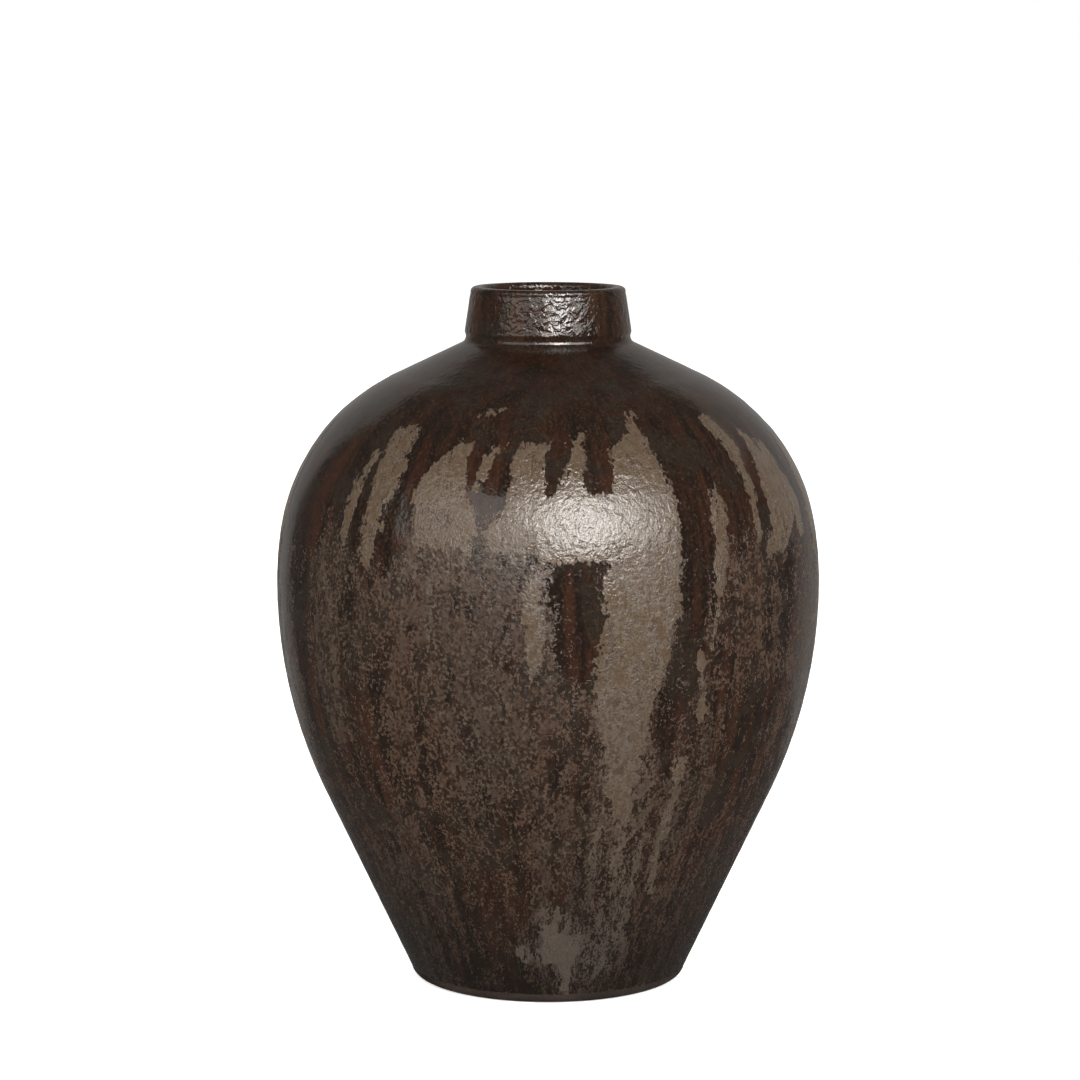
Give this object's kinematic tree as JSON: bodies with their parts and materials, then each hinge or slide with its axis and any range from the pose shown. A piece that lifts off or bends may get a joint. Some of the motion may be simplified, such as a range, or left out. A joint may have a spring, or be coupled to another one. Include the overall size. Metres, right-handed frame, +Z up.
{
  "type": "sake bottle",
  "caption": "Squat, wide-shouldered stoneware jar with a short open neck and a tapering foot, for storing and pouring sake; dark iron glaze with pale ash runs.",
  "frame": {"origin": "centre of the foot ring, on the plane the bottle stands on", "axes": "+Z up along the axis of revolution and out of the mouth; -Y is the front"},
  "size_m": [0.25, 0.25, 0.32],
  "materials": {
    "clay": "unglazed fired stoneware, matte",
    "slip": "fired clay slip, matte",
    "iron_glaze": "glossy dark brown iron glaze with a slight orange peel",
    "ash_glaze": "satin beige-brown ash glaze, mottled where it breaks into the dark glaze",
    "liner_glaze": "glossy dark brown"
  },
  "bodies": {
    "root": {"base_slab": "clay", "lower_wall": "clay", "upper_wall": "clay", "neck_collar": "clay", "base_slip": "slip", "belly_slip": "slip", "neck_slip": "slip", "iron_glaze": "iron_glaze", "ash_runs": "ash_glaze", "liner_glaze": "liner_glaze"}
  },
  "joints": []
}
